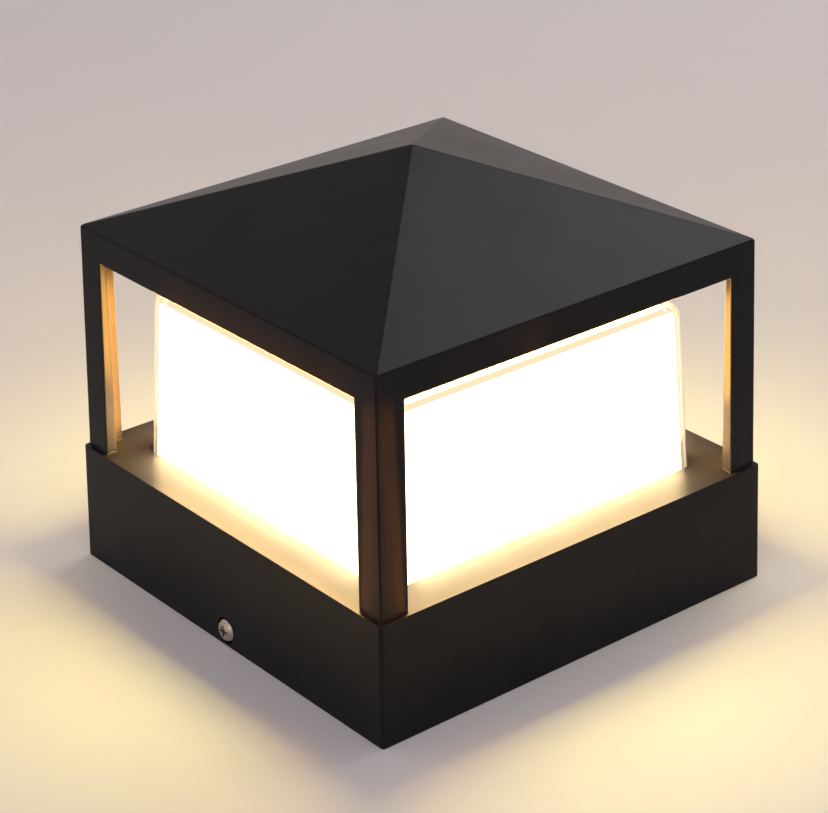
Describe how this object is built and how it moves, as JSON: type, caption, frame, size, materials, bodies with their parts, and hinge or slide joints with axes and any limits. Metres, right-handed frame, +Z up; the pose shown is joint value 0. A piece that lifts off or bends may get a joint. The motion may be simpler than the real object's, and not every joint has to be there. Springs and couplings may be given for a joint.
{
  "type": "deck post cap light",
  "caption": "Square lantern for a deck post or pillar: hipped roof on four corner legs, lit opal diffuser between them, and a cast base over a screw-on mounting plate.",
  "frame": {"origin": "centre of the base's lower edge, on the top of the post", "axes": "+Z up; -Y is the face with the visible side screw, +X the face to its right"},
  "size_m": [0.2, 0.202, 0.187],
  "materials": {
    "powder_coat_black": "matt black powder coat",
    "clear_acrylic": "clear moulded acrylic",
    "opal_acrylic": "opal acrylic, lit warm white",
    "silicone_black": "matt",
    "sheet_aluminium": "milled sheet",
    "board_white": "white solder mask",
    "led_yellow": "phosphor",
    "driver_aluminium": "anodised",
    "black_nylon": "moulded",
    "zinc_steel": "zinc plated",
    "stainless": "turned stainless steel",
    "foam_black": "closed-cell foam",
    "terminal_white": "moulded polyamide",
    "brass": "turned",
    "lead_insulation": "insulated lead",
    "earth_insulation": "green and yellow insulated lead",
    "tinned_copper": "tinned"
  },
  "bodies": {
    "root": {"lantern_frame": "powder_coat_black", "base_housing": "powder_coat_black", "clear_cover": "clear_acrylic", "opal_diffuser": "opal_acrylic", "cover_gasket": "silicone_black", "foot_gaskets": "silicone_black", "led_board": "board_white", "led_chips": "led_yellow", "led_tray": "sheet_aluminium", "lead_grommet": "silicone_black", "driver_case": "driver_aluminium", "driver_end_caps": "black_nylon", "led_leads": "lead_insulation", "mains_leads": "lead_insulation", "earth_lead": "earth_insulation", "mounting_plate": "zinc_steel", "foam_gasket": "foam_black", "cable_grommet": "silicone_black", "terminal_block": "terminal_white", "clamp_screws": "brass", "earth_lug": "tinned_copper", "earth_washer": "zinc_steel", "frame_screws": "stainless", "tray_screws": "stainless", "led_board_screws": "zinc_steel", "driver_screws": "zinc_steel", "side_screws": "stainless", "terminal_fixing_screws": "zinc_steel", "earth_screw": "brass"}
  },
  "joints": []
}
